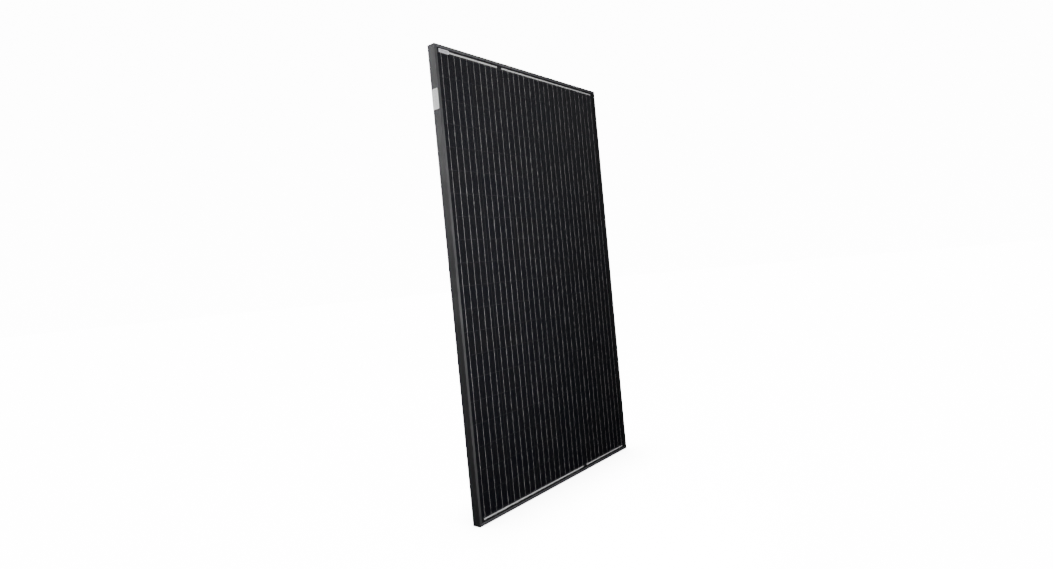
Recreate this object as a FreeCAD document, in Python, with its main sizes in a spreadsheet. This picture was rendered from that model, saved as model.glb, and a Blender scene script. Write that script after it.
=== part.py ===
import FreeCAD, Part
import math
import os
import re
import Sketcher

# Framed solar module. Millimetres: x to the right seen from the glass, z up along the tall side,
# y from the glass (negative) to the flat rear of the frame at y = 0. Levels through the thickness
# are given as the depth behind the frame's front face.

SIZES = (
    ("module_width", 1002, "outside width"),
    ("module_height", 1684, "outside height"),
    ("frame_depth", 35, "outside depth"),
    ("rail_wall", 1.4, "wall of the extruded rails"),
    ("lip_width", 11, "front lip, and the box behind it"),
    ("edge_break", 0.5, "small bevel on the rail's outer corner"),
    ("groove_height", 6.4, "slot that holds the laminate"),
    ("side_flange", 30, "rear flange of the two side rails"),
    ("end_flange", 18, "rear flange of the top and bottom rails"),
    ("flange_thickness", 1.5, "thickness of the rear flanges"),
    ("slot_inset", 20, "mounting slots from the outer edge"),
    ("slot_width", 9, "mounting slot across"),
    ("slot_length", 14, "mounting slot end to end"),
    ("outer_slot_reach", 680, "outer mounting slots from mid-height"),
    ("inner_slot_reach", 500, "inner mounting slots from mid-height"),
    ("ground_reach", 760, "grounding holes from mid-height"),
    ("ground_radius", 2.1, "grounding hole"),
    ("drain_reach", 440, "drain slots from the middle of an end rail"),
    ("drain_length", 12, "drain slot end to end"),
    ("drain_width", 4, "drain slot across"),
    ("key_clearance", 0.05, "corner key inside the rail's box"),
    ("key_arm", 58, "length of a corner key's arm"),
    ("laminate_inset", 2.6, "laminate edge from the frame's outer edge"),
    ("sealant_lip", 10.2, "sealant's inner edge from the outer edge"),
    ("glass_front", 1.9, "front of the glass"),
    ("glass_rear", 5.1, "rear of the glass"),
    ("ribbon_front", 5.5, "front of the ribbons on the cells' faces"),
    ("cell_front", 5.75, "front of the cells"),
    ("cell_rear", 5.95, "rear of the cells"),
    ("ribbon_rear", 6.2, "rear of the ribbons on the cells' backs"),
    ("strip_front", 6.5, "front of the insulation under the leads"),
    ("lead_front", 6.7, "front of the leads behind the cells"),
    ("lead_rear", 7.0, "rear of the leads, front of the backsheet"),
    ("sheet_rear", 7.3, "rear of the backsheet"),
    ("label_film", 0.1, "thickness of every label"),
    ("cell_width", 158.75, "cell across"),
    ("cell_height", 79.375, "half cell along the string"),
    ("column_pitch", 161.75, "string to string"),
    ("row_pitch", 81.4, "cell to cell along a string"),
    ("wire_pitch", 31.6, "ribbon to ribbon on a cell"),
    ("wire_width", 0.9, "ribbon on a cell"),
    ("wire_end", 1.5, "bare end of a cell's face past its ribbon"),
    ("bend_start", 0.2, "ribbon's bend from the cell edge"),
    ("bend_end", 0.4, "ribbon's bend on its outer side"),
    ("bus_inset", 18.8, "bus ribbon's middle from the outer edge"),
    ("bus_width", 5.8, "bus ribbon"),
    ("bus_overhang", 5, "bus ribbon past its outermost cell ribbon"),
    ("lead_width", 6, "lead to the junction box"),
    ("strip_width", 10, "insulation under a lead"),
    ("lead_level", 800, "sideways run of a lead from mid-height"),
    ("lead_side", 195, "lead's tab on its bus ribbon from the middle"),
    ("box_level", 718, "middle of the junction box above mid-height"),
    ("box_half_width", 60, "junction box, half its width"),
    ("box_half_height", 52, "junction box, half its height"),
    ("box_wall", 4, "junction box wall"),
    ("box_corner", 6, "junction box corner"),
    ("box_front", 8.3, "front of the junction box"),
    ("floor_rear", 10.8, "inside of the junction box floor"),
    ("terminal_rear", 12, "rear of the terminal plates"),
    ("foot_rear", 12.3, "rear of a lead's end on its terminal"),
    ("diode_rear", 15.4, "rear of the bypass diodes"),
    ("rim", 24, "rim of the junction box"),
    ("lid_gap", 0.15, "lid above the rim"),
    ("lid_rear", 27.15, "outside of the lid"),
    ("lid_plug", 1.5, "lid's inner ridge into the box"),
    ("plug_gap", 0.4, "lid's inner ridge from the walls"),
    ("plug_wall", 1.6, "lid's inner ridge"),
    ("gasket_inset", 1.2, "gasket groove from the box's outside"),
    ("gasket_width", 1.6, "gasket groove across"),
    ("gasket_depth", 1.5, "gasket groove depth"),
    ("gasket_gap", 0.05, "gasket to the groove and to the rim's level"),
    ("terminal_pitch", 26, "terminal to terminal"),
    ("terminal_half", 9, "terminal, half its width"),
    ("riser_reach", 24, "leads' bends from the middle of the box"),
    ("riser_thickness", 0.4, "lead where it rises to the terminal"),
    ("foot_length", 8, "lead's end on its terminal"),
    ("slit_room", 0.5, "backsheet slit past a lead on each side"),
    ("terminal_trim", 0.6, "terminal's end from the bends of the leads"),
    ("terminal_hole", 2, "radius of the hole in a terminal"),
    ("diode_tab", 0.6, "thickness of a diode's tabs"),
    ("diode_tab_half", 8.5, "diode over its tabs, half its width"),
    ("diode_tab_low", 4, "lower edge of a diode's tabs from the middle of the box"),
    ("diode_tab_high", 12, "upper edge of a diode's tabs from the middle of the box"),
    ("diode_half", 6.5, "diode's block, half its width"),
    ("diode_low", 3, "lower edge of a diode's block from the middle of the box"),
    ("diode_high", 13, "upper edge of a diode's block from the middle of the box"),
    ("adhesive_outer", 2, "adhesive ring's outside from the box's outside"),
    ("adhesive_inner", 9, "adhesive ring's inside from the box's outside"),
    ("hexagon_flat", 0.8660254, "half the width over a hexagon's flats, for a corner radius of one"),
    ("overlap", 1, "how far joined shapes and cuts run into each other"),
    ("overrun", 6, "how far a cut passes the face it opens"),
    ("window_half", 50, "floor window, half its width"),
    ("window_height", 5, "floor window along the box"),
    ("hinge_rise", 4.6, "hinge axis from the box"),
    ("knuckle_radius", 3.6, "hinge knuckle"),
    ("pin_radius", 1.5, "hinge pin"),
    ("pin_fit", 0.03, "hinge pin in the box's knuckles"),
    ("pin_play", 0.06, "hinge pin in the lid's knuckle"),
    ("knuckle_reach", 28, "hinge, half its length"),
    ("knuckle_split", 16, "lid's knuckle, half its length"),
    ("knuckle_play", 0.2, "gap between knuckles"),
    ("arm_depth", 6, "box's hinge arm through the thickness"),
    ("latch_half", 9, "lid's finger tab, half its width"),
    ("latch_drop", 1.6, "lid's finger tab thickness"),
    ("latch_front", 17, "front end of the lid's finger tab"),
    ("gland_side", 36, "cable gland from the middle of the box"),
    ("gland_level", 17.5, "cable gland's axis"),
    ("stub_radius", 6.3, "gland's threaded stub"),
    ("stub_length", 9, "gland's threaded stub below the box"),
    ("stub_bore", 3.2, "cable passage through the stub"),
    ("nut_radius", 9, "gland nut across its corners, half"),
    ("nut_play", 0.08, "gland nut on the stub"),
    ("nut_start", 1.5, "gland nut below the box"),
    ("nut_length", 15, "gland nut"),
    ("nut_end", 2.5, "gland nut's end wall"),
    ("nut_mouth", 3.2, "cable opening of the gland nut"),
    ("seal_radius", 5.6, "gland seal"),
    ("seal_bore", 3.2, "cable passage through the seal"),
    ("seal_gap", 0.1, "gland seal between the stub and the nut's end"),
    ("serial_width", 48, "serial label across"),
    ("serial_height", 13, "serial label"),
    ("serial_side", 476.6, "serial label's left edge from the middle"),
    ("serial_level", 823.2, "serial label's middle above mid-height"),
    ("tag_top", 154, "side label below the top edge"),
    ("tag_length", 71, "side label along the rail"),
    ("tag_front", 4, "side label from the front edge"),
    ("tag_width", 29, "side label through the thickness"),
    ("plate_half_width", 75, "rating label, half its width"),
    ("plate_bottom", 480, "rating label's lower edge above mid-height"),
    ("plate_height", 100, "rating label"),
)
QUARTER_TURN = math.pi / 2
COLUMNS = 6
ROWS = 20
WIRES = 5

os.makedirs("parts", exist_ok=True)
doc = FreeCAD.newDocument("solar_module")
sheet = doc.addObject("Spreadsheet::Sheet", "Dims")
for row, (alias, size, note) in enumerate(SIZES, 1):
    sheet.set("A%d" % row, note)
    sheet.set("B%d" % row, str(size))
    sheet.setAlias("B%d" % row, alias)
doc.recompute()
subparts = []


def sized(expression):
    """The expression with every size looked up in the sheet."""
    return re.sub("[a-z_]+", lambda word: "Dims." + word.group(), expression)


def value(expression):
    return float(sheet.evalExpression(sized(expression)))


def point(x, y):
    return FreeCAD.Vector(value(x), value(y), 0)


def new_body(label):
    body = doc.addObject("PartDesign::Body", label)
    body.Label = label
    body.AllowCompound = True
    subparts.append(body)
    return body


def origin_feature(body, role):
    return next(item for item in body.Origin.OriginFeatures if item.Role == role)


def sketch_on(body, role, offset):
    """A sketch on one of the body's planes, moved along the plane's normal."""
    sketch = body.newObject("Sketcher::SketchObject", body.Label + "_sketch")
    sketch.AttachmentSupport = [(origin_feature(body, role), "")]
    sketch.MapMode = "FlatFace"
    sketch.setExpression("AttachmentOffset.Base.z", sized(offset))
    return sketch


def front_sketch(body, depth):
    """Seen from the glass: x right, z up, at a depth behind the frame's front face."""
    return sketch_on(body, "XZ_Plane", "frame_depth - (%s)" % depth)


def side_sketch(body, offset="0"):
    """Through the thickness: y, then z."""
    return sketch_on(body, "YZ_Plane", offset)


def fix_point(sketch, geometry, corner, x, y):
    for kind, place in (("DistanceX", x), ("DistanceY", y)):
        rule = sketch.addConstraint(Sketcher.Constraint(kind, -1, 1, geometry, corner, value(place)))
        sketch.setExpression("Constraints[%d]" % rule, sized(place))


def outline(sketch, corners):
    """Closed polygon through the corners, each a pair of expressions."""
    first = sketch.GeometryCount
    places = [point(x, y) for x, y in corners]
    for start, end in zip(places, places[1:] + places[:1]):
        sketch.addGeometry(Part.LineSegment(start, end))
    for step in range(len(corners)):
        following = first + (step + 1) % len(corners)
        sketch.addConstraint(Sketcher.Constraint("Coincident", first + step, 2, following, 1))
        fix_point(sketch, first + step, 1, *corners[step])


def rectangle(sketch, left, bottom, right, top):
    outline(sketch, [(left, bottom), (right, bottom), (right, top), (left, top)])


def centred_rectangle(sketch, half_width, half_height):
    rectangle(sketch, "-(%s)" % half_width, "-(%s)" % half_height, half_width, half_height)


def box_outline(sketch, inset):
    """The junction box's outline with cut corners, moved inwards by an inset."""
    half = "(box_half_width - (%s))" % inset
    tall = "(box_half_height - (%s))" % inset
    corners = []
    for across, up in ((1, 1), (-1, 1), (-1, -1), (1, -1)):
        on_end = ("%d*(%s - box_corner)" % (across, half), "box_level + %d*%s" % (up, tall))
        on_side = ("%d*%s" % (across, half), "box_level + %d*(%s - box_corner)" % (up, tall))
        corners += [on_side, on_end] if across == up else [on_end, on_side]
    outline(sketch, corners)


def circle(sketch, x, y, radius):
    ring = sketch.addGeometry(Part.Circle(point(x, y), FreeCAD.Vector(0, 0, 1), value(radius)))
    fix_point(sketch, ring, 3, x, y)
    rule = sketch.addConstraint(Sketcher.Constraint("Radius", ring, value(radius)))
    sketch.setExpression("Constraints[%d]" % rule, sized(radius))


def slot(sketch, x, y, length, width, upright):
    """Round-ended slot about its middle, along y when upright and along x otherwise."""
    reach = "((%s)/2 - (%s)/2)" % (length, width)
    ends = []
    for sign in (1, -1):
        place = (x, "%s + %d*%s" % (y, sign, reach)) if upright else ("%s + %d*%s" % (x, sign, reach), y)
        start = {(1, True): 0, (-1, True): 2, (1, False): -1, (-1, False): 1}[(sign, upright)]
        round_end = Part.Circle(point(*place), FreeCAD.Vector(0, 0, 1), value(width + "/2"))
        arc = sketch.addGeometry(Part.ArcOfCircle(round_end, start * QUARTER_TURN, (start + 2) * QUARTER_TURN))
        ends.append((arc, place))
    (first, _), (second, _) = ends
    arc_ends = {}
    for arc, _ in ends:
        arc_ends[arc] = (sketch.getPoint(arc, 1), sketch.getPoint(arc, 2))
    line_one = sketch.addGeometry(Part.LineSegment(arc_ends[first][1], arc_ends[second][0]))
    line_two = sketch.addGeometry(Part.LineSegment(arc_ends[second][1], arc_ends[first][0]))
    for one, one_end, two, two_end in (
        (first, 2, line_one, 1),
        (line_one, 2, second, 1),
        (second, 2, line_two, 1),
        (line_two, 2, first, 1),
    ):
        sketch.addConstraint(Sketcher.Constraint("Tangent", one, one_end, two, two_end))
    for arc, place in ends:
        fix_point(sketch, arc, 3, *place)
        rule = sketch.addConstraint(Sketcher.Constraint("Radius", arc, value(width + "/2")))
        sketch.setExpression("Constraints[%d]" % rule, sized(width + "/2"))


def pad(body, sketch, length, both_ways=False, backwards=False):
    feature = body.newObject("PartDesign::Pad", body.Label + "_pad")
    feature.Profile = sketch
    feature.SideType = "Symmetric" if both_ways else "One side"
    feature.Reversed = backwards
    feature.setExpression("Length", sized(length))
    doc.recompute()
    return feature


def pocket(body, sketch, length=None):
    """A cut against the sketch's normal, or right through both ways without a length."""
    feature = body.newObject("PartDesign::Pocket", body.Label + "_cut")
    feature.Profile = sketch
    if length is None:
        feature.Type = "ThroughAll"
        feature.SideType = "Symmetric"
    else:
        feature.setExpression("Length", sized(length))
    doc.recompute()
    return feature


def slab(label, front, rear, *draws):
    """A flat piece between two depths; each draw adds an outline to its sketch."""
    body = new_body(label)
    sketch = front_sketch(body, rear)
    for draw in draws:
        draw(sketch)
    pad(body, sketch, "%s - (%s)" % (rear, front))
    return body


def cut_slab(body, front, rear, *draws):
    sketch = front_sketch(body, front)
    for draw in draws:
        draw(sketch)
    pocket(body, sketch, "%s - (%s)" % (rear, front))


def repeated(body, feature, *runs):
    """Copies of a feature; each run is an axis, a pitch, a count and whether it runs backwards."""
    grid = body.newObject("PartDesign::MultiTransform", body.Label + "_grid")
    steps = []
    for axis, pitch, count, backwards in runs:
        step = body.newObject("PartDesign::LinearPattern", body.Label + "_run")
        step.Direction = (origin_feature(body, axis), [""])
        step.Reversed = backwards
        step.setExpression("Length", sized("%d*%s" % (count - 1, pitch)))
        step.Occurrences = count
        steps.append(step)
    grid.Originals = [feature]
    grid.Transformations = steps
    body.Tip = grid
    doc.recompute()


def rail_section(flange):
    """Outer edge of a rail's section as pairs of inward distance and depth."""
    shelf = "rail_wall + groove_height"
    heel = "frame_depth - flange_thickness"
    return [
        ("edge_break", "0"), ("lip_width", "0"), ("lip_width", "rail_wall"), ("rail_wall", "rail_wall"),
        ("rail_wall", shelf), ("lip_width", shelf), ("lip_width", heel), (flange, heel),
        (flange, "frame_depth"), ("0", "frame_depth"), ("0", "edge_break"),
    ]


def rail_hollow():
    near = "2*rail_wall + groove_height"
    far = "frame_depth - flange_thickness"
    inner = "lip_width - rail_wall"
    return [("rail_wall", near), (inner, near), (inner, far), ("rail_wall", far)]


def mitre(flange):
    """The waste past a rail's mitre as pairs of inward distance and distance past the end."""
    return [("-5", "5"), (flange + " + 5", "-" + flange + " - 5"), (flange + " + 5", "5")]


def side_rail(label, side):
    body = new_body(label)
    section = sketch_on(body, "XY_Plane", "0")
    for ring in (rail_section("side_flange"), rail_hollow()):
        outline(section, [("%d*(module_width/2 - (%s))" % (side, u), "%s - frame_depth" % v) for u, v in ring])
    pad(body, section, "module_height", both_ways=True)
    waste = front_sketch(body, "0")
    for end in (1, -1):
        places = [
            ("%d*(module_width/2 - (%s))" % (side, u), "%d*(module_height/2 + (%s))" % (end, past))
            for u, past in mitre("side_flange")
        ]
        outline(waste, places)
    pocket(body, waste)
    holes = front_sketch(body, "0")
    line = "%d*(module_width/2 - slot_inset)" % side
    for end in (1, -1):
        slot(holes, line, "%d*outer_slot_reach" % end, "slot_length", "slot_width", True)
        slot(holes, line, "%d*inner_slot_reach" % end, "slot_length", "slot_width", True)
        circle(holes, line, "%d*ground_reach" % end, "ground_radius")
    pocket(body, holes)


def end_rail(label, end):
    body = new_body(label)
    section = side_sketch(body)
    for ring in (rail_section("end_flange"), rail_hollow()):
        outline(section, [("%s - frame_depth" % v, "%d*(module_height/2 - (%s))" % (end, u)) for u, v in ring])
    pad(body, section, "module_width", both_ways=True)
    waste = front_sketch(body, "0")
    for side in (1, -1):
        places = [
            ("%d*(module_width/2 + (%s))" % (side, past), "%d*(module_height/2 - (%s))" % (end, u))
            for u, past in mitre("end_flange")
        ]
        outline(waste, places)
    pocket(body, waste)
    drains = front_sketch(body, "0")
    line = "%d*(module_height/2 - (lip_width + end_flange)/2)" % end
    for side in (1, -1):
        slot(drains, "%d*drain_reach" % side, line, "drain_length", "drain_width", False)
    pocket(body, drains)


def key_reach(outer):
    return "(%s + key_arm)" % outer


def corner_key(label, side, end):
    """L-shaped key in the boxes of the two rails that meet at a corner."""
    outer = "(rail_wall + key_clearance)"
    inner = "(lip_width - rail_wall - key_clearance)"
    places = [
        (outer, outer), (key_reach(outer), outer), (key_reach(outer), inner),
        (inner, inner), (inner, key_reach(outer)), (outer, key_reach(outer)),
    ]
    corners = [
        ("%d*(module_width/2 - %s)" % (side, across), "%d*(module_height/2 - %s)" % (end, down))
        for across, down in places
    ]
    slab(
        label, "2*rail_wall + groove_height + key_clearance", "frame_depth - flange_thickness - key_clearance",
        lambda sketch: outline(sketch, corners),
    )


def inset_rectangle(inset):
    """Outline parallel to the frame's outer edge."""
    return lambda sketch: centred_rectangle(
        sketch, "(module_width/2 - %s)" % inset, "(module_height/2 - %s)" % inset
    )


def edge_sealant():
    body = slab(
        "edge_sealant", "rail_wall", "rail_wall + groove_height",
        inset_rectangle("rail_wall"), inset_rectangle("sealant_lip"),
    )
    cut_slab(body, "glass_front", "sheet_rear", inset_rectangle("laminate_inset"))


def lead_path(lead, half):
    """Run of a lead behind the cells, widened by half its width to each side."""
    across = "%s*terminal_pitch" % (lead - 2.5)
    end = 1 if lead in (1, 3) else -1
    bus = "(module_height/2 - bus_inset)"
    riser = "(box_level + %d*(riser_reach - riser_thickness))" % end
    left = "%s - %s" % (across, half)
    right = "%s + %s" % (across, half)
    if lead in (2, 3):
        return [
            (left, "%d*(%s + bus_width/2)" % (end, bus)), (right, "%d*(%s + bus_width/2)" % (end, bus)),
            (right, riser), (left, riser),
        ]
    away = -1 if lead == 1 else 1
    near_side = "%d*(lead_side - %s)" % (away, half)
    far_side = "%d*(lead_side + %s)" % (away, half)
    inside = "%s - %d*%s" % (across, away, half)
    outside = "%s + %d*%s" % (across, away, half)
    start = "%d*(%s + bus_width/2)" % (end, bus)
    upper = "%d*(lead_level + %s)" % (end, half)
    lower = "%d*(lead_level - %s)" % (end, half)
    return [
        (far_side, start), (near_side, start), (near_side, upper), (inside, upper),
        (inside, riser), (outside, riser), (outside, lower), (far_side, lower),
    ]


def lead_tab(lead):
    """Corners of a lead's tab on its bus ribbon."""
    end = 1 if lead in (1, 3) else -1
    middle = {1: "-lead_side", 4: "lead_side"}.get(lead, "%s*terminal_pitch" % (lead - 2.5))
    bus = "%d*(module_height/2 - bus_inset)" % end
    return (middle + " - lead_width/2", bus + " - bus_width/2", middle + " + lead_width/2", bus + " + bus_width/2")


def lead_riser(lead, length, room):
    """Corners of the part of a lead that leaves the laminate, or of the slit around it."""
    end = 1 if lead in (1, 3) else -1
    across = "%s*terminal_pitch" % (lead - 2.5)
    start = "box_level + %d*(riser_reach + %s)" % (end, room)
    finish = "box_level + %d*(riser_reach - %s - %s)" % (end, length, room)
    half = "(lead_width/2 + %s)" % room
    return (across + " - " + half, start, across + " + " + half, finish)


def front_encapsulant():
    body = slab("front_encapsulant", "glass_rear", "ribbon_front", inset_rectangle("laminate_inset"))
    cut_slab(body, "glass_rear", "glass_rear + label_film", draw_serial_label)


def draw_serial_label(sketch):
    rectangle(
        sketch, "-serial_side", "serial_level - serial_height/2",
        "serial_width - serial_side", "serial_level + serial_height/2",
    )


def rear_encapsulant():
    body = slab("rear_encapsulant", "ribbon_rear", "lead_rear", inset_rectangle("laminate_inset"))
    for lead in range(1, 5):
        cut_slab(body, "strip_front", "lead_rear", lambda sketch: outline(sketch, lead_path(lead, "strip_width/2")))
        cut_slab(body, "ribbon_rear", "lead_rear", lambda sketch: rectangle(sketch, *lead_tab(lead)))


def backsheet():
    body = slab("backsheet", "lead_rear", "sheet_rear", inset_rectangle("laminate_inset"))
    for lead in range(1, 5):
        cut_slab(
            body, "lead_rear", "sheet_rear",
            lambda sketch: rectangle(sketch, *lead_riser(lead, "riser_thickness", "slit_room")),
        )


def cell_string(column):
    body = new_body("cell_string_%d" % column)
    middle = "%s*column_pitch" % (column - (COLUMNS + 1) / 2)
    lowest = "-%s*row_pitch" % ((ROWS - 1) / 2)
    sketch = front_sketch(body, "cell_rear")
    rectangle(
        sketch, middle + " - cell_width/2", lowest + " - cell_height/2",
        middle + " + cell_width/2", lowest + " + cell_height/2",
    )
    cell = pad(body, sketch, "cell_rear - cell_front")
    repeated(body, cell, ("Z_Axis", "row_pitch", ROWS, False))


def wire_places(column):
    """Middle of a string's first ribbon."""
    return "%s*column_pitch - %s*wire_pitch" % (column - (COLUMNS + 1) / 2, (WIRES - 1) / 2)


def tabbing_ribbons(column):
    """Ribbons from each cell's face to the next cell's back, and those that reach the bus ribbons."""
    body = new_body("tabbing_ribbons_%d" % column)
    flow = -1 if column in (3, 4) else 1
    edge = "(%s*row_pitch - cell_height/2)" % ((ROWS - 1) / 2)
    gap = "(row_pitch - cell_height)"
    face = "(cell_height - wire_end)"
    bus_edge = "(module_height/2 - bus_inset + bus_width/2)"
    for end, front, rear in ((flow, "cell_rear", "ribbon_rear"), (-flow, "ribbon_front", "cell_front")):
        sketch = side_sketch(body, wire_places(column))
        inner = "%d*(%s + wire_end)" % (end, edge)
        outer = "%d*%s" % (end, bus_edge)
        rectangle(sketch, "%s - frame_depth" % front, inner, "%s - frame_depth" % rear, outer)
        tail = pad(body, sketch, "wire_width", both_ways=True)
        repeated(body, tail, ("X_Axis", "wire_pitch", WIRES, False))
    section = [
        ("ribbon_front", "%s + %s" % (edge, face)),
        ("cell_front", "%s + %s" % (edge, face)),
        ("cell_front", "%s - bend_start" % edge),
        ("ribbon_rear", "%s - %s + bend_end" % (edge, gap)),
        ("ribbon_rear", "%s - %s - %s" % (edge, gap, face)),
        ("cell_rear", "%s - %s - %s" % (edge, gap, face)),
        ("cell_rear", "%s - %s + bend_start" % (edge, gap)),
        ("ribbon_front", "%s - bend_end" % edge),
    ]
    sketch = side_sketch(body, wire_places(column))
    outline(sketch, [("%s - frame_depth" % depth, "%d*(%s)" % (flow, level)) for depth, level in section])
    ribbon = pad(body, sketch, "wire_width", both_ways=True)
    repeated(
        body, ribbon,
        ("Z_Axis", "row_pitch", ROWS - 1, flow > 0), ("X_Axis", "wire_pitch", WIRES, False),
    )


def bus_ribbon(label, end, first_column, last_column):
    reach = "(%s*wire_pitch + bus_overhang)" % ((WIRES - 1) / 2)
    left = "%s*column_pitch - %s" % (first_column - (COLUMNS + 1) / 2, reach)
    right = "%s*column_pitch + %s" % (last_column - (COLUMNS + 1) / 2, reach)
    level = "%d*(module_height/2 - bus_inset)" % end
    slab(
        label, "cell_front", "cell_rear",
        lambda sketch: rectangle(sketch, left, level + " - bus_width/2", right, level + " + bus_width/2"),
    )


def lead_ribbon(lead):
    body = slab(
        "lead_ribbon_%d" % lead, "lead_front", "lead_rear",
        lambda sketch: outline(sketch, lead_path(lead, "lead_width/2")),
    )
    for front, rear, corners in (
        ("cell_rear", "lead_rear", lead_tab(lead)),
        ("lead_front", "foot_rear", lead_riser(lead, "riser_thickness", "0")),
        ("terminal_rear", "foot_rear", lead_riser(lead, "foot_length", "0")),
    ):
        sketch = front_sketch(body, rear)
        rectangle(sketch, *corners)
        pad(body, sketch, "%s - (%s)" % (rear, front))


def insulation_strip(lead):
    """Film between a lead and the backs of the cells, clear of the lead's tab."""
    body = slab(
        "insulation_strip_%d" % lead, "strip_front", "lead_front",
        lambda sketch: outline(sketch, lead_path(lead, "strip_width/2")),
    )
    cut_slab(body, "strip_front", "lead_front", lambda sketch: rectangle(sketch, *lead_tab(lead)))


def junction_box_base():
    body = slab("junction_box_base", "box_front", "rim", lambda sketch: box_outline(sketch, "0"))
    hinge = side_sketch(body)
    top = "box_level + box_half_height"
    axis = ("rim - frame_depth", top + " + hinge_rise")
    rectangle(hinge, "rim - frame_depth - arm_depth", top + " - overlap", "rim - frame_depth", top + " + hinge_rise")
    pad(body, hinge, "2*knuckle_reach", both_ways=True)
    barrel = side_sketch(body)
    circle(barrel, *axis, "knuckle_radius")
    pad(body, barrel, "2*knuckle_reach", both_ways=True)
    middle = side_sketch(body)
    rectangle(middle, "-frame_depth", top, "0", top + " + 2*overrun")
    split = pocket(body, middle, "2*(knuckle_split + knuckle_play)")
    split.SideType = "Symmetric"
    bore = side_sketch(body)
    circle(bore, *axis, "pin_radius + pin_fit")
    pocket(body, bore)
    cut_slab(body, "floor_rear", "rim + overrun", lambda sketch: box_outline(sketch, "box_wall"))
    cut_slab(
        body, "rim - gasket_depth", "rim + overrun",
        lambda sketch: box_outline(sketch, "gasket_inset"),
        lambda sketch: box_outline(sketch, "gasket_inset + gasket_width"),
    )
    for end in (1, -1):
        near = "box_level + %d*(riser_reach - riser_thickness)" % end
        far = "box_level + %d*(riser_reach + window_height)" % end
        cut_slab(
            body, "box_front - overlap", "floor_rear + overlap",
            lambda sketch: rectangle(sketch, "-window_half", near, "window_half", far),
        )
    stubs = sketch_on(body, "XY_Plane", "box_level - box_half_height + overlap")
    bores = sketch_on(body, "XY_Plane", "box_level - box_half_height + box_wall + overlap")
    for side in (1, -1):
        place = ("%d*gland_side" % side, "gland_level - frame_depth")
        circle(stubs, *place, "stub_radius")
        circle(bores, *place, "stub_bore")
    pad(body, stubs, "stub_length + overlap", backwards=True)
    pocket(body, bores, "box_wall + stub_length + 2*overlap")


def junction_box_lid():
    body = slab("junction_box_lid", "rim + lid_gap", "lid_rear", lambda sketch: box_outline(sketch, "0"))
    plug = front_sketch(body, "rim + lid_gap + overlap/2")
    box_outline(plug, "box_wall + plug_gap")
    box_outline(plug, "box_wall + plug_gap + plug_wall")
    pad(body, plug, "lid_plug + lid_gap + overlap/2")
    top = "box_level + box_half_height"
    web = side_sketch(body)
    rectangle(web, "rim + lid_gap - frame_depth", top + " - overlap", "lid_rear - frame_depth", top + " + hinge_rise")
    pad(body, web, "2*knuckle_split", both_ways=True)
    barrel = side_sketch(body)
    axis = ("rim - frame_depth", top + " + hinge_rise")
    circle(barrel, *axis, "knuckle_radius")
    pad(body, barrel, "2*knuckle_split", both_ways=True)
    bore = side_sketch(body)
    circle(bore, *axis, "pin_radius + pin_play")
    pocket(body, bore)
    tab = front_sketch(body, "lid_rear")
    bottom = "box_level - box_half_height"
    rectangle(tab, "-latch_half", bottom + " - plug_gap - latch_drop", "latch_half", bottom + " + overlap")
    pad(body, tab, "lid_rear - rim - lid_gap")
    finger = front_sketch(body, "lid_rear")
    rectangle(finger, "-latch_half", bottom + " - plug_gap - latch_drop", "latch_half", bottom + " - plug_gap")
    pad(body, finger, "lid_rear - latch_front")


def junction_box_gasket():
    slab(
        "junction_box_gasket", "rim - gasket_depth", "rim - gasket_gap",
        lambda sketch: box_outline(sketch, "gasket_inset + gasket_gap"),
        lambda sketch: box_outline(sketch, "gasket_inset + gasket_width - gasket_gap"),
    )


def junction_box_adhesive():
    slab(
        "junction_box_adhesive", "sheet_rear", "box_front",
        lambda sketch: box_outline(sketch, "adhesive_outer"),
        lambda sketch: box_outline(sketch, "adhesive_inner"),
    )


def lid_hinge_pin():
    body = new_body("lid_hinge_pin")
    sketch = side_sketch(body)
    circle(sketch, "rim - frame_depth", "box_level + box_half_height + hinge_rise", "pin_radius")
    pad(body, sketch, "2*knuckle_reach", both_ways=True)


def terminal(number):
    across = "%s*terminal_pitch" % (number - 2.5)
    body = slab(
        "terminal_%d" % number, "floor_rear", "terminal_rear",
        lambda sketch: rectangle(
            sketch, across + " - terminal_half", "box_level - riser_reach + terminal_trim",
            across + " + terminal_half", "box_level + riser_reach - terminal_trim",
        ),
    )
    cut_slab(
        body, "floor_rear", "terminal_rear",
        lambda sketch: circle(sketch, across, "box_level", "terminal_hole"),
    )


def bypass_diode(number):
    """Flat diode across two neighbouring terminals, with a shoulder at each end."""
    across = "%s*terminal_pitch" % (number - 2)
    body = slab(
        "bypass_diode_%d" % number, "terminal_rear", "terminal_rear + diode_tab",
        lambda sketch: rectangle(
            sketch, across + " - diode_tab_half", "box_level + diode_tab_low",
            across + " + diode_tab_half", "box_level + diode_tab_high",
        ),
    )
    block = front_sketch(body, "diode_rear")
    rectangle(
        block, across + " - diode_half", "box_level + diode_low",
        across + " + diode_half", "box_level + diode_high",
    )
    pad(body, block, "diode_rear - terminal_rear")


def gland_nut(label, side):
    body = new_body(label)
    place = ("%d*gland_side" % side, "gland_level - frame_depth")
    start = "box_level - box_half_height - nut_start"
    hexagon = sketch_on(body, "XY_Plane", start)
    corners = []
    for across, deep in ((2, 0), (1, 1), (-1, 1), (-2, 0), (-1, -1), (1, -1)):
        corners.append((
            "%s + %d*nut_radius/2" % (place[0], across),
            "%s + %d*nut_radius*hexagon_flat" % (place[1], deep),
        ))
    outline(hexagon, corners)
    pad(body, hexagon, "nut_length", backwards=True)
    thread = sketch_on(body, "XY_Plane", start)
    circle(thread, *place, "stub_radius + nut_play")
    pocket(body, thread, "nut_length - nut_end")
    mouth = sketch_on(body, "XY_Plane", start)
    circle(mouth, *place, "nut_mouth")
    pocket(body, mouth, "nut_length + overlap")


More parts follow.
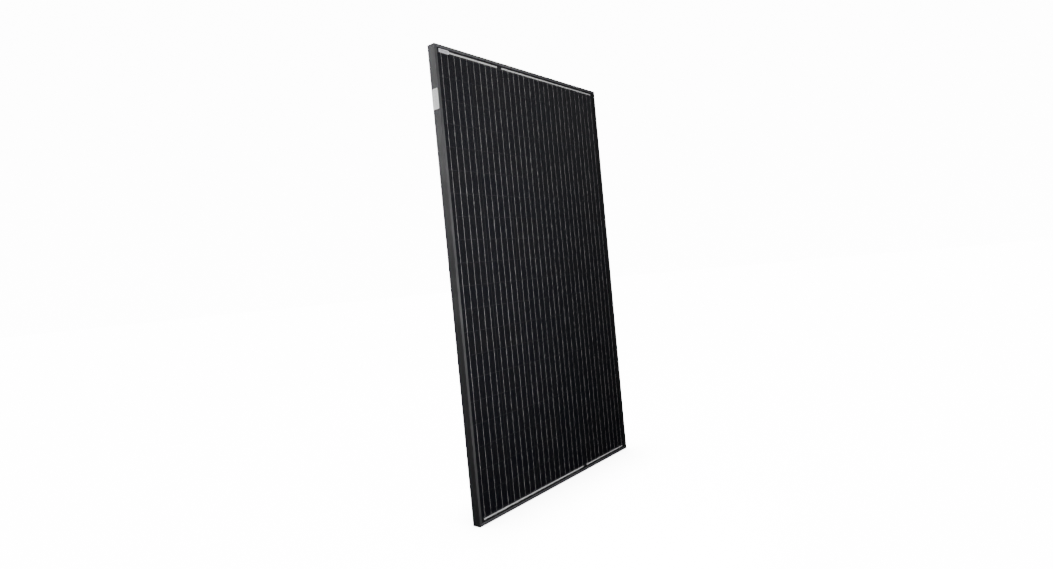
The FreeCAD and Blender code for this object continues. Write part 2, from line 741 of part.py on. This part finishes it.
def gland_seal(label, side):
    body = new_body(label)
    sketch = sketch_on(body, "XY_Plane", "box_level - box_half_height - stub_length - seal_gap")
    place = ("%d*gland_side" % side, "gland_level - frame_depth")
    circle(sketch, *place, "seal_radius")
    circle(sketch, *place, "seal_bore")
    pad(body, sketch, "nut_start + nut_length - nut_end - stub_length - 2*seal_gap", backwards=True)


def side_label():
    body = new_body("side_label")
    sketch = side_sketch(body, "-module_width/2")
    rectangle(
        sketch, "tag_front - frame_depth", "module_height/2 - tag_top - tag_length",
        "tag_front + tag_width - frame_depth", "module_height/2 - tag_top",
    )
    pad(body, sketch, "label_film", backwards=True)


def rating_label():
    slab(
        "rating_label", "sheet_rear", "sheet_rear + label_film",
        lambda sketch: rectangle(
            sketch, "-plate_half_width", "plate_bottom", "plate_half_width", "plate_bottom + plate_height"
        ),
    )


side_rail("left_side_rail", -1)
side_rail("right_side_rail", 1)
end_rail("top_end_rail", 1)
end_rail("bottom_end_rail", -1)
for end_name, end in (("top", 1), ("bottom", -1)):
    for side_name, side in (("left", -1), ("right", 1)):
        corner_key("corner_key_%s_%s" % (end_name, side_name), side, end)
edge_sealant()
slab("front_glass", "glass_front", "glass_rear", inset_rectangle("laminate_inset"))
front_encapsulant()
slab("serial_label", "glass_rear", "glass_rear + label_film", draw_serial_label)
rear_encapsulant()
backsheet()
for column in range(1, COLUMNS + 1):
    cell_string(column)
    tabbing_ribbons(column)
bus_ribbon("bus_ribbon_top_left", 1, 1, 2)
bus_ribbon("bus_ribbon_top_right", 1, 3, 6)
bus_ribbon("bus_ribbon_bottom_left", -1, 1, 4)
bus_ribbon("bus_ribbon_bottom_right", -1, 5, 6)
for lead in range(1, 5):
    lead_ribbon(lead)
    insulation_strip(lead)
    terminal(lead)
for number in range(1, 4):
    bypass_diode(number)
junction_box_base()
junction_box_lid()
junction_box_gasket()
junction_box_adhesive()
lid_hinge_pin()
for side_name, side in (("left", -1), ("right", 1)):
    gland_nut("gland_nut_" + side_name, side)
    gland_seal("gland_seal_" + side_name, side)
side_label()
rating_label()

doc.recompute()
for item in doc.Objects:
    if "Invalid" in item.State or "Error" in item.State:
        raise RuntimeError(item.Label + " did not build")
for body in subparts:
    if body.Shape.isNull() or not body.Shape.isValid():
        raise RuntimeError(body.Label + " has no valid shape")
    body.Shape.exportStep("parts/%s.step" % body.Label)
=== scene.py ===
import math

import bmesh
import bpy
from mathutils import Matrix, Vector


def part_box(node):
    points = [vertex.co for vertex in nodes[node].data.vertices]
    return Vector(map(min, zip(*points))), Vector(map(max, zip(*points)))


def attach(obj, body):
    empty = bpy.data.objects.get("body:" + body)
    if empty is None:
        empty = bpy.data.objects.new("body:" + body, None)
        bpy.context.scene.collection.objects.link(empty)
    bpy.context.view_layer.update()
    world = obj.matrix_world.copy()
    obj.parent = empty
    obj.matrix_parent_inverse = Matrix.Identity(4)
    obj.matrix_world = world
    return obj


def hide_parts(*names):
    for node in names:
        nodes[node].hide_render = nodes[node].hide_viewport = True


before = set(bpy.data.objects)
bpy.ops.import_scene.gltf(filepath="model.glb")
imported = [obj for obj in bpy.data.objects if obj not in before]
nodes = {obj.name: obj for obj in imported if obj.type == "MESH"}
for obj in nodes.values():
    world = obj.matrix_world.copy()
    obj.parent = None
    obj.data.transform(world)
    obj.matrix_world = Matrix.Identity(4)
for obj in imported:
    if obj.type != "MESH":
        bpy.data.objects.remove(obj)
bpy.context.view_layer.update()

# Sizes in metres. The glass faces -Y, the rear is at y = 0 and Z runs up the tall side.
COLUMN_PITCH = 0.16175
ROW_PITCH = 0.0814
FINGER_PITCH = 0.0014
FINGER_SHARE = 0.04
PANE_BEVEL = 0.0004
FILM_CLEARANCE = 0.00002
PRINT_HEIGHT = 0.00002
RAIL_EDGE = 0.00035
BOX_EDGE = 0.0005
FLOOR_GAP = 0.0005
FLOOR_REACH = 60.0
BACKDROP_REACH = 45.0

# The camera stands left of the glass at mid-height and is rolled a little.
CAMERA_PLACE = Vector((-1.9842, -1.5724, 0.0230))
CAMERA_RIGHT = Vector((0.63352, -0.76807, -0.09337))
CAMERA_UP = Vector((0.07302, -0.06078, 0.99548))
CAMERA_LENS = 21.02
CAMERA_SENSOR = 36.0
CAMERA_CLIP_END = 200.0

# Light levels of the studio, and how far and how dark the shadow painted into the floor's glow round the
# object is.
BACKDROP_GLOW = 16.0
FLOOR_GLOW = 15.0
PAINTED_SHADOW_REACH = 0.25
PAINTED_SHADOW_SHARE = 0.15

# Share of a cell's tone that is its own; the rest is a cloudiness running across the cells.
OWN_TONE = 0.25


def shader(name):
    """A new material and its node tree, links and main shader."""
    material = bpy.data.materials.new(name)
    material.use_nodes = True
    tree = material.node_tree
    return material, tree.nodes, tree.links, tree.nodes["Principled BSDF"]


def settings(bsdf, **sockets):
    for name, value in sockets.items():
        bsdf.inputs[name.replace("_", " ")].default_value = value


def calculate(tree_nodes, links, operation, first, second=None, third=None):
    node = tree_nodes.new("ShaderNodeMath")
    node.operation = operation
    for index, source in enumerate((first, second, third)):
        if source is None:
            continue
        if isinstance(source, (int, float)):
            node.inputs[index].default_value = source
        else:
            links.new(source, node.inputs[index])
    return node.outputs[0]


def ramp(tree_nodes, links, source, stops):
    """Colour ramp over a value; stops are (position, colour) pairs."""
    node = tree_nodes.new("ShaderNodeValToRGB")
    links.new(source, node.inputs[0])
    elements = node.color_ramp.elements
    while len(elements) < len(stops):
        elements.new(0.5)
    for element, (position, colour) in zip(elements, stops):
        element.position = position
        element.color = (*colour, 1.0)
    return node.outputs[0]


def spread(tree_nodes, links, source, low, high, start=0.0):
    """Maps start..1 to low..high."""
    node = tree_nodes.new("ShaderNodeMapRange")
    links.new(source, node.inputs[0])
    node.inputs[1].default_value = start
    node.inputs[3].default_value = low
    node.inputs[4].default_value = high
    return node.outputs[0]


def noise(tree_nodes, links, stretch, detail=3.0, roughness=0.55):
    """Noise over the object's own metres, with a scale for each axis."""
    coordinates = tree_nodes.new("ShaderNodeTexCoord")
    mapping = tree_nodes.new("ShaderNodeMapping")
    mapping.inputs["Scale"].default_value = stretch
    links.new(coordinates.outputs["Object"], mapping.inputs[0])
    texture = tree_nodes.new("ShaderNodeTexNoise")
    texture.inputs["Scale"].default_value = 1.0
    texture.inputs["Detail"].default_value = detail
    texture.inputs["Roughness"].default_value = roughness
    links.new(mapping.outputs[0], texture.inputs["Vector"])
    return texture.outputs[0]


def bump(tree_nodes, links, bsdf, source, strength, depth):
    node = tree_nodes.new("ShaderNodeBump")
    node.inputs["Strength"].default_value = strength
    node.inputs["Distance"].default_value = depth
    links.new(source, node.inputs["Height"])
    links.new(node.outputs[0], bsdf.inputs["Normal"])


def position_axes(tree_nodes, links):
    coordinates = tree_nodes.new("ShaderNodeTexCoord")
    split = tree_nodes.new("ShaderNodeSeparateXYZ")
    links.new(coordinates.outputs["Object"], split.inputs[0])
    return split.outputs


def anodised(name, stretch, dark, light):
    """Black anodised extrusion: fine die lines along the rail and faint cloudiness."""
    material, tree_nodes, links, bsdf = shader(name)
    lines = noise(tree_nodes, links, stretch, detail=2.0)
    cloud = noise(tree_nodes, links, (9.0, 9.0, 9.0), detail=4.0)
    colour = ramp(tree_nodes, links, cloud, [(0.35, dark), (0.65, light)])
    links.new(colour, bsdf.inputs["Base Color"])
    links.new(spread(tree_nodes, links, cloud, 0.36, 0.5), bsdf.inputs["Roughness"])
    bump(tree_nodes, links, bsdf, lines, 0.25, 0.0002)
    settings(bsdf, Metallic=0.2, Specular_IOR_Level=0.5)
    return material


def silicon():
    """Cells: near-black coating, each cell a shade of its own, crossed by fine printed fingers."""
    material, tree_nodes, links, bsdf = shader("coated_silicon")
    across, _, up = position_axes(tree_nodes, links)
    cell = tree_nodes.new("ShaderNodeCombineXYZ")
    for socket, (axis, pitch) in enumerate(((across, COLUMN_PITCH), (up, ROW_PITCH))):
        place = calculate(tree_nodes, links, "DIVIDE", axis, pitch)
        links.new(calculate(tree_nodes, links, "FLOOR", place), cell.inputs[socket])
    own = tree_nodes.new("ShaderNodeTexWhiteNoise")
    links.new(cell.outputs[0], own.inputs["Vector"])
    grain = noise(tree_nodes, links, (14.0, 14.0, 14.0), detail=5.0)
    own_part = calculate(tree_nodes, links, "MULTIPLY", own.outputs[0], OWN_TONE)
    shade = calculate(tree_nodes, links, "MULTIPLY_ADD", grain, 1.0 - OWN_TONE, own_part)
    coating = ramp(
        tree_nodes, links, shade,
        [(0.25, (0.0022, 0.0014, 0.0046)), (0.55, (0.0034, 0.0023, 0.0046)), (0.8, (0.0046, 0.0032, 0.0042))],
    )
    count = calculate(tree_nodes, links, "DIVIDE", up, FINGER_PITCH)
    finger = calculate(
        tree_nodes, links, "LESS_THAN", calculate(tree_nodes, links, "FRACT", count), FINGER_SHARE
    )
    mix = tree_nodes.new("ShaderNodeMix")
    mix.data_type = "RGBA"
    links.new(finger, mix.inputs[0])
    links.new(coating, mix.inputs[6])
    mix.inputs[7].default_value = (0.03, 0.03, 0.032, 1.0)
    links.new(mix.outputs[2], bsdf.inputs["Base Color"])
    links.new(spread(tree_nodes, links, shade, 0.26, 0.34), bsdf.inputs["Roughness"])
    settings(bsdf, Specular_IOR_Level=0.2)
    return material


def tinned(name, light, dark, metallic=0.6):
    """Tinned copper ribbon: bright solder with slightly uneven dip."""
    material, tree_nodes, links, bsdf = shader(name)
    dip = noise(tree_nodes, links, (120.0, 120.0, 45.0), detail=3.0)
    links.new(ramp(tree_nodes, links, dip, [(0.3, dark), (0.7, light)]), bsdf.inputs["Base Color"])
    links.new(spread(tree_nodes, links, dip, 0.3, 0.5), bsdf.inputs["Roughness"])
    bump(tree_nodes, links, bsdf, dip, 0.3, 0.0001)
    settings(bsdf, Metallic=metallic)
    return material


def moulded(name, colour, roughness=0.55, grain=900.0):
    """Moulded plastic with a fine spark-eroded grain."""
    material, tree_nodes, links, bsdf = shader(name)
    fine = noise(tree_nodes, links, (grain, grain, grain), detail=2.0)
    soft = noise(tree_nodes, links, (25.0, 25.0, 25.0), detail=3.0)
    lighter = tuple(channel * 1.3 for channel in colour)
    links.new(ramp(tree_nodes, links, soft, [(0.3, colour), (0.75, lighter)]), bsdf.inputs["Base Color"])
    links.new(spread(tree_nodes, links, soft, roughness - 0.06, roughness + 0.08), bsdf.inputs["Roughness"])
    bump(tree_nodes, links, bsdf, fine, 0.35, 0.0002)
    return material


def film(name, colour, roughness):
    """Backsheet film: faint print of the cells behind it and a soft orange-peel."""
    material, tree_nodes, links, bsdf = shader(name)
    across, _, up = position_axes(tree_nodes, links)
    peel = noise(tree_nodes, links, (160.0, 160.0, 160.0), detail=3.0)
    edges = []
    for axis, pitch in ((across, COLUMN_PITCH), (up, ROW_PITCH)):
        place = calculate(tree_nodes, links, "FRACT", calculate(tree_nodes, links, "DIVIDE", axis, pitch))
        side = calculate(tree_nodes, links, "ABSOLUTE", calculate(tree_nodes, links, "SUBTRACT", place, 0.5))
        inward = calculate(tree_nodes, links, "SUBTRACT", 0.5, side)
        steep = calculate(tree_nodes, links, "MULTIPLY", inward, 14.0)
        edges.append(calculate(tree_nodes, links, "SMOOTH_MIN", steep, 1.0, 0.4))
    relief = calculate(tree_nodes, links, "MULTIPLY", edges[0], edges[1])
    height = calculate(tree_nodes, links, "MULTIPLY_ADD", peel, 0.25, relief)
    lighter = tuple(channel * 1.35 for channel in colour)
    links.new(ramp(tree_nodes, links, peel, [(0.3, colour), (0.7, lighter)]), bsdf.inputs["Base Color"])
    links.new(spread(tree_nodes, links, peel, roughness - 0.05, roughness + 0.08), bsdf.inputs["Roughness"])
    bump(tree_nodes, links, bsdf, height, 0.35, 0.0003)
    return material


def paper(name, colour):
    """Printed label film with a faint fibre that makes it slightly darker in places."""
    material, tree_nodes, links, bsdf = shader(name)
    fibre = noise(tree_nodes, links, (400.0, 400.0, 400.0), detail=4.0)
    darker = tuple(channel * 0.93 for channel in colour)
    links.new(ramp(tree_nodes, links, fibre, [(0.3, darker), (0.7, colour)]), bsdf.inputs["Base Color"])
    links.new(spread(tree_nodes, links, fibre, 0.45, 0.6), bsdf.inputs["Roughness"])
    bump(tree_nodes, links, bsdf, fibre, 0.1, 0.00005)
    return material


def pane_face():
    """Textured solar glass with an anti-reflection coating, seen from outside."""
    material, tree_nodes, links, bsdf = shader("solar_glass_face")
    pearls = noise(tree_nodes, links, (1100.0, 1100.0, 1100.0), detail=1.0)
    wave = noise(tree_nodes, links, (3.0, 3.0, 3.0), detail=2.0)
    links.new(spread(tree_nodes, links, wave, 0.16, 0.24), bsdf.inputs["Roughness"])
    bump(tree_nodes, links, bsdf, pearls, 0.06, 0.00008)
    settings(bsdf, Base_Color=(0.006, 0.007, 0.010, 1.0), Alpha=0.15, IOR=1.7, Specular_IOR_Level=0.9)
    return material


def pane_body():
    """Clear inside of the laminated glass."""
    material, tree_nodes, links, bsdf = shader("solar_glass_body")
    seeds = noise(tree_nodes, links, (40.0, 40.0, 40.0), detail=2.0)
    links.new(spread(tree_nodes, links, seeds, 0.2, 0.3), bsdf.inputs["Roughness"])
    settings(bsdf, Base_Color=(0.05, 0.08, 0.07, 1.0), Alpha=0.04)
    return material


def piece(name, mesh, body, slot, *materials):
    """Links a mesh as a piece that rides on a body and carries the given materials."""
    made = bpy.data.objects.new(name, mesh)
    bpy.context.scene.collection.objects.link(made)
    for material in materials:
        mesh.materials.append(material)
    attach(made, body)
    return made


def block_mesh(name, blocks, bevel=0.0):
    """One mesh of boxes, each a (low corner, high corner) pair."""
    build = bmesh.new()
    for low, high in blocks:
        size = Vector(high) - Vector(low)
        middle = (Vector(high) + Vector(low)) / 2
        made = bmesh.ops.create_cube(build, size=1.0)["verts"]
        bmesh.ops.scale(build, vec=size, verts=made)
        bmesh.ops.translate(build, vec=middle, verts=made)
    if bevel:
        bmesh.ops.bevel(build, geom=list(build.edges), offset=bevel, segments=2, affect="EDGES", profile=0.5)
    mesh = bpy.data.meshes.new(name)
    build.to_mesh(mesh)
    build.free()
    return mesh


def glazing():
    """The glass and the clear film bonded behind it, as one pane with ground edges."""
    low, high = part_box("front_glass")
    _, film_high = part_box("front_encapsulant")
    rear = film_high.y - FILM_CLEARANCE
    mesh = block_mesh("laminated_pane", [(low, (high.x, rear, high.z))], PANE_BEVEL)
    made = piece("laminated_pane", mesh, "module", "solar_glass", pane_body(), pane_face())
    for face in mesh.polygons:
        face.material_index = 1 if face.normal.y < -0.9 else 0
    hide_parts("front_glass", "front_encapsulant")


def bars(name, low, high, axis, normal, outward, rows):
    """Plain generic bars printed on a label: rows are (start, end, level, thickness) shares of its size."""
    blocks = []
    size = high - low
    for start, end, level, thickness in rows:
        near = low.copy()
        far = high.copy()
        near[axis] = low[axis] + size[axis] * start
        far[axis] = low[axis] + size[axis] * end
        other = 3 - axis - normal
        near[other] = low[other] + size[other] * level
        far[other] = near[other] + size[other] * thickness
        face = high[normal] if outward > 0 else low[normal]
        near[normal] = min(face, face + outward * PRINT_HEIGHT)
        far[normal] = max(face, face + outward * PRINT_HEIGHT)
        blocks.append((near, far))
    return block_mesh(name, blocks)


def printed(label, axis, normal, outward, rows, slot, ink):
    """A label's printing as a piece that lies on the label."""
    low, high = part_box(label)
    name = label + "_print"
    piece(name, bars(name, low, high, axis, normal, outward, rows), "module", slot, ink)


def label_print():
    """Generic bars: a bar code over a line, a column of short lines, and a table with entries."""
    ink = moulded("label_ink", (0.16, 0.16, 0.17), 0.5)
    code = []
    for step in range(29):
        start = 0.06 + 0.03 * step
        code.append((start, start + (0.012 if step % 3 else 0.02), 0.42, 0.42))
    printed("serial_label", 0, 1, -1, code + [(0.12, 0.86, 0.16, 0.12)], "label_white", ink)

    pale = moulded("pale_ink", (0.5, 0.5, 0.52), 0.5)
    lines = []
    for step in range(12):
        lines.append((0.08 + 0.075 * step, 0.10 + 0.075 * step, 0.14, 0.5 + 0.2 * (step % 2)))
    printed("side_label", 2, 0, -1, lines, "label_white", pale)

    rules = [(0.06, 0.94, 0.08 + 0.1 * step, 0.012) for step in range(9)]
    entries = [(0.06, 0.4 + 0.1 * (step % 3), 0.11 + 0.1 * step, 0.035) for step in range(8)]
    printed("rating_label", 0, 1, 1, rules + entries, "label_silver", ink)


def soften(names, width, segments=2):
    """Small rounded edges, so that extruded and moulded parts catch the light."""
    for name in names:
        modifier = nodes[name].modifiers.new("soft_edges", "BEVEL")
        modifier.width = width
        modifier.segments = segments
        modifier.limit_method = "ANGLE"
        modifier.angle_limit = math.radians(40)
        modifier.harden_normals = False


def dress(material, *prefixes):
    for name, node in nodes.items():
        if name.startswith(prefixes):
            node.data.materials.clear()
            node.data.materials.append(material)


def materials():
    # One anodised finish in two copies: the end rails' colours are painted lighter than the side rails',
    # painted light and shade for how the light falls on the lips and the side faces.
    for name, stretch, dark, light, rails in (
        (
            "anodised_side_rail_painted_shade", (900.0, 900.0, 4.0), (0.050, 0.051, 0.053), (0.066, 0.067, 0.069),
            ("left_side_rail", "right_side_rail"),
        ),
        (
            "anodised_end_rail_painted_light", (4.0, 900.0, 900.0), (0.076, 0.077, 0.080), (0.098, 0.099, 0.102),
            ("top_end_rail", "bottom_end_rail"),
        ),
    ):
        dress(anodised(name, stretch, dark, light), *rails)
    dress(tinned("mill_aluminium", (0.55, 0.55, 0.56), (0.42, 0.42, 0.43)), "corner_key")
    dress(silicon(), "cell_string")
    dress(tinned("tinned_wire", (0.72, 0.71, 0.70), (0.56, 0.55, 0.55), 0.1), "tabbing_ribbons")
    # The bus ribbons' tin is painted near-white, lighter than the same tin on the wires: partly the tin's own
    # pale colour, partly a painted sheen.
    dress(tinned("tinned_bus_painted_sheen", (0.97, 0.97, 0.96), (0.86, 0.86, 0.86), 0.1), "bus_ribbon")
    dress(tinned("tinned_terminal", (0.78, 0.77, 0.76), (0.62, 0.61, 0.60)), "lead_ribbon", "terminal")
    dress(film("rear_film_black", (0.008, 0.008, 0.009), 0.45), "rear_encapsulant")
    dress(film("backsheet_black", (0.022, 0.022, 0.024), 0.5), "backsheet")
    dress(moulded("insulation_black", (0.02, 0.02, 0.02)), "insulation_strip")
    silicone = moulded("silicone_black", (0.02, 0.02, 0.021), 0.65, 300.0)
    dress(silicone, "edge_sealant", "junction_box_adhesive")
    dress(moulded("box_plastic_black", (0.030, 0.030, 0.032)), "junction_box_base")
    dress(moulded("lid_plastic_black", (0.034, 0.034, 0.036), 0.5), "junction_box_lid")
    dress(moulded("gland_plastic_black", (0.036, 0.036, 0.038), 0.45), "gland_nut")
    dress(moulded("rubber_grey", (0.07, 0.07, 0.07), 0.75, 500.0), "junction_box_gasket", "gland_seal")
    dress(moulded("diode_black", (0.02, 0.02, 0.022), 0.3, 300.0), "bypass_diode")
    dress(tinned("pin_steel", (0.6, 0.6, 0.6), (0.45, 0.45, 0.46)), "lid_hinge_pin")
    dress(paper("label_paper_white", (0.94, 0.94, 0.93)), "side_label")
    dress(paper("label_film_white", (0.93, 0.93, 0.98)), "serial_label")
    dress(paper("label_film_silver", (0.72, 0.73, 0.74)), "rating_label")


def floor():
    build = bmesh.new()
    bmesh.ops.create_grid(build, x_segments=2, y_segments=2, size=FLOOR_REACH)
    mesh = bpy.data.meshes.new("floor")
    build.to_mesh(mesh)
    build.free()
    low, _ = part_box("bottom_end_rail")
    made = bpy.data.objects.new("floor", mesh)
    made.location = (0.0, 0.0, low.z - FLOOR_GAP)
    bpy.context.scene.collection.objects.link(made)
    material, tree_nodes, links, bsdf = shader("pale_floor")
    settings(bsdf, Base_Color=(0.88, 0.88, 0.88, 1.0), Roughness=0.9, Specular_IOR_Level=0.1)
    # The floor's glow is dimmed by ambient occlusion near the object: a painted shadow where the object
    # stands.
    painted_contact_shadow = tree_nodes.new("ShaderNodeAmbientOcclusion")
    painted_contact_shadow.samples = 8
    painted_contact_shadow.inputs["Distance"].default_value = PAINTED_SHADOW_REACH
    glow = spread(tree_nodes, links, painted_contact_shadow.outputs["AO"], PAINTED_SHADOW_SHARE * FLOOR_GLOW, FLOOR_GLOW)
    settings(bsdf, Emission_Color=(1.0, 1.0, 1.0, 1.0))
    links.new(glow, bsdf.inputs["Emission Strength"])
    mesh.materials.append(material)
    made.visible_diffuse = False
    made.visible_glossy = False


def backdrop():
    """Pale studio wall all round, hidden from the rays that light the object."""
    build = bmesh.new()
    bmesh.ops.create_uvsphere(build, u_segments=48, v_segments=24, radius=BACKDROP_REACH)
    mesh = bpy.data.meshes.new("backdrop")
    build.to_mesh(mesh)
    build.free()
    made = bpy.data.objects.new("backdrop", mesh)
    bpy.context.scene.collection.objects.link(made)
    material, tree_nodes, links, bsdf = shader("pale_backdrop")
    settings(bsdf, Base_Color=(0.0, 0.0, 0.0, 1.0), Roughness=1.0, Specular_IOR_Level=0.0)
    height = tree_nodes.new("ShaderNodeSeparateXYZ")
    links.new(tree_nodes.new("ShaderNodeTexCoord").outputs["Generated"], height.inputs[0])
    glow = spread(tree_nodes, links, height.outputs[2], BACKDROP_GLOW, 0.8 * BACKDROP_GLOW)
    settings(bsdf, Emission_Color=(1.0, 1.0, 1.0, 1.0))
    links.new(glow, bsdf.inputs["Emission Strength"])
    mesh.materials.append(material)
    made.visible_diffuse = False
    made.visible_glossy = False
    made.visible_shadow = False


def surroundings():
    """Soft light from all round the object, dark low down and brighter overhead."""
    world = bpy.data.worlds.new("studio")
    world.use_nodes = True
    tree = world.node_tree
    tree_nodes, links = tree.nodes, tree.links
    coordinates = tree_nodes.new("ShaderNodeTexCoord")
    split = tree_nodes.new("ShaderNodeSeparateXYZ")
    links.new(coordinates.outputs["Generated"], split.inputs[0])
    raised = spread(tree_nodes, links, split.outputs[2], 0.0, 1.0, start=-1.0)
    shade = ramp(
        tree_nodes, links, raised,
        [
            (0.36, (0.006, 0.006, 0.007)), (0.45, (0.040, 0.040, 0.044)), (0.52, (0.09, 0.09, 0.10)),
            (0.64, (0.28, 0.28, 0.30)), (0.9, (0.4, 0.4, 0.4)),
        ],
    )
    links.new(shade, tree_nodes["Background"].inputs[0])
    bpy.context.scene.world = world


def area_light(name, place, target, size, energy, angle=180.0):
    data = bpy.data.lights.new(name, "AREA")
    data.shape = "RECTANGLE"
    data.size, data.size_y = size
    data.energy = energy
    data.spread = math.radians(angle)
    made = bpy.data.objects.new(name, data)
    made.location = place
    made.rotation_euler = (Vector(target) - Vector(place)).to_track_quat("-Z", "Y").to_euler()
    made.visible_camera = False
    bpy.context.scene.collection.objects.link(made)


def lights():
    area_light(
        "left_key", place=(-2.6, 0.6, 1.5), target=(-0.5, 0.0, 0.4), size=(1.0, 0.6), energy=7.0, angle=55.0
    )
    area_light(
        "front_strip", place=(-0.45, -1.0, 0.15), target=(-0.42, 0.0, 0.1), size=(0.2, 1.4), energy=22.0
    )
    area_light(
        "rear_wash", place=(1.9, 2.2, 1.6), target=(0.0, 0.0, 0.2), size=(1.6, 1.2), energy=45.0
    )


def camera():
    data = bpy.data.cameras.new("camera")
    data.sensor_fit = "HORIZONTAL"
    data.sensor_width = CAMERA_SENSOR
    data.lens = CAMERA_LENS
    data.clip_end = CAMERA_CLIP_END
    made = bpy.data.objects.new("camera", data)
    turn = Matrix((CAMERA_RIGHT, CAMERA_UP, CAMERA_RIGHT.cross(CAMERA_UP))).transposed()
    made.matrix_world = Matrix.Translation(CAMERA_PLACE) @ turn.to_4x4()
    bpy.context.scene.collection.objects.link(made)
    bpy.context.scene.camera = made


materials()
soften(("left_side_rail", "right_side_rail", "top_end_rail", "bottom_end_rail"), RAIL_EDGE)
soften(("junction_box_base", "junction_box_lid", "gland_nut_left", "gland_nut_right"), BOX_EDGE)
glazing()
label_print()
floor()
backdrop()
surroundings()
lights()
camera()
